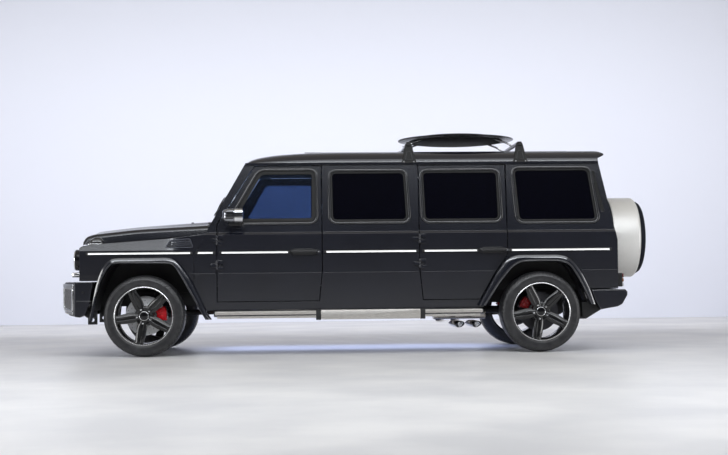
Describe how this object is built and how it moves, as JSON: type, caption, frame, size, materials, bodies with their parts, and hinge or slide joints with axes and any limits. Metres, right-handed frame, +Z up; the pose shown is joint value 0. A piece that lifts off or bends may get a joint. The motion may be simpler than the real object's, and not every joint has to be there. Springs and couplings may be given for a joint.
{
  "type": "stretched off-road suv",
  "caption": "Boxy long-wheelbase off-road suv with side-hinged doors, rear cargo door carrying the spare wheel, opening bonnet, steered front wheels and a roof-mounted round aerial.",
  "frame": {"origin": "on the ground below the middle of the vehicle's bounding box", "axes": "+X forward, +Y to the vehicle's left, +Z up"},
  "size_m": [5.79, 2.039, 2.1559],
  "materials": {
    "body_paint": "satin black",
    "frame_black": "matt black chassis paint",
    "cabin_lining": "dark carpet and trim",
    "black_plastic": "grained black plastic",
    "gloss_black": "gloss black",
    "lamp_glass": "clear lamp lens",
    "tail_lamp_red": "red lens",
    "clear_glass": "lightly tinted",
    "dark_glass": "privacy glass",
    "stainless": "brushed stainless",
    "polished_steel": "polished",
    "bright_chrome": "satin chrome",
    "cast_metal": "cast",
    "spring_steel": "black springs",
    "black_leather": "black leather",
    "bar_aluminium": "extruded bar with black towers",
    "aerial_black": "smooth black housing",
    "wheel_black": "gloss black with a polished lip",
    "tyre_rubber": "rubber"
  },
  "bodies": {
    "body": {"frame_rails": "frame_black", "frame_crossmembers": "frame_black", "body_tub": "cabin_lining", "body_side_left": "body_paint", "body_side_right": "body_paint", "roof_panel": "body_paint", "front_wings": "body_paint", "wheel_housings": "black_plastic", "front_panel": "body_paint", "radiator_grille": "gloss_black", "headlamps": "lamp_glass", "turn_signals": "gloss_black", "tail_lamps": "tail_lamp_red", "windscreen": "clear_glass", "fixed_side_glass": "dark_glass", "front_bumper": "body_paint", "rear_bumper": "body_paint", "arch_flares": "body_paint", "running_boards": "stainless", "exhausts": "polished_steel", "engine_block": "cast_metal", "fuel_tank": "black_plastic", "front_axle": "frame_black", "rear_axle": "frame_black", "suspension": "spring_steel", "dashboard": "black_plastic", "steering_wheel": "black_leather", "seats": "black_leather", "roof_bars": "bar_aluminium", "roof_aerial": "aerial_black"},
    "bonnet": {"bonnet": "body_paint"},
    "front_door_left": {"front_door_left": "body_paint", "front_door_glass_left": "clear_glass", "mirror_left": "bright_chrome"},
    "front_door_right": {"front_door_right": "body_paint", "front_door_glass_right": "clear_glass", "mirror_right": "bright_chrome"},
    "rear_door_left": {"rear_door_left": "body_paint", "rear_door_glass_left": "dark_glass"},
    "rear_door_right": {"rear_door_right": "body_paint", "rear_door_glass_right": "dark_glass"},
    "cargo_door": {"cargo_door": "body_paint", "cargo_door_glass": "dark_glass", "spare_wheel_cover": "stainless"},
    "knuckle_left": {"knuckle_left": "cast_metal"},
    "knuckle_right": {"knuckle_right": "cast_metal"},
    "wheel_front_left": {"rim_front_left": "wheel_black", "tyre_front_left": "tyre_rubber"},
    "wheel_front_right": {"rim_front_right": "wheel_black", "tyre_front_right": "tyre_rubber"},
    "wheel_rear_left": {"rim_rear_left": "wheel_black", "tyre_rear_left": "tyre_rubber"},
    "wheel_rear_right": {"rim_rear_right": "wheel_black", "tyre_rear_right": "tyre_rubber"}
  },
  "joints": [
    {"name": "bonnet_hinge", "type": "hinge", "parent": "body", "child": "bonnet", "pos_m": [1.504, 0, 1.282], "axis": [0, -1, 0], "range_deg": [0, 55]},
    {"name": "front_door_left_hinge", "type": "hinge", "parent": "body", "child": "front_door_left", "pos_m": [1.389, 0.858, 1], "axis": [0, 0, -1], "range_deg": [0, 65]},
    {"name": "front_door_right_hinge", "type": "hinge", "parent": "body", "child": "front_door_right", "pos_m": [1.389, -0.858, 1], "axis": [0, 0, 1], "range_deg": [0, 65]},
    {"name": "rear_door_left_hinge", "type": "hinge", "parent": "body", "child": "rear_door_left", "pos_m": [-0.541, 0.858, 1], "axis": [0, 0, -1], "range_deg": [0, 65]},
    {"name": "rear_door_right_hinge", "type": "hinge", "parent": "body", "child": "rear_door_right", "pos_m": [-0.541, -0.858, 1], "axis": [0, 0, 1], "range_deg": [0, 65]},
    {"name": "cargo_door_hinge", "type": "hinge", "parent": "body", "child": "cargo_door", "pos_m": [-2.467, -0.622, 1.2], "axis": [0, 0, 1], "range_deg": [0, 95]},
    {"name": "steer_left", "type": "hinge", "parent": "body", "child": "knuckle_left", "pos_m": [2.075, 0.655, 0.3845], "axis": [0, 0, 1], "range_deg": [-30, 30]},
    {"name": "steer_right", "type": "hinge", "parent": "body", "child": "knuckle_right", "pos_m": [2.075, -0.655, 0.3845], "axis": [0, 0, 1], "range_deg": [-30, 30]},
    {"name": "wheel_front_left_spin", "type": "hinge", "parent": "knuckle_left", "child": "wheel_front_left", "pos_m": [2.075, 0.765, 0.3845], "axis": [0, 1, 0], "continuous": true},
    {"name": "wheel_front_right_spin", "type": "hinge", "parent": "knuckle_right", "child": "wheel_front_right", "pos_m": [2.075, -0.765, 0.3845], "axis": [0, 1, 0], "continuous": true},
    {"name": "wheel_rear_left_spin", "type": "hinge", "parent": "body", "child": "wheel_rear_left", "pos_m": [-1.695, 0.765, 0.3845], "axis": [0, 1, 0], "continuous": true},
    {"name": "wheel_rear_right_spin", "type": "hinge", "parent": "body", "child": "wheel_rear_right", "pos_m": [-1.695, -0.765, 0.3845], "axis": [0, 1, 0], "continuous": true}
  ],
  "couplings": [
    {"joint": "steer_right", "follows": "steer_left", "ratio": 1}
  ]
}
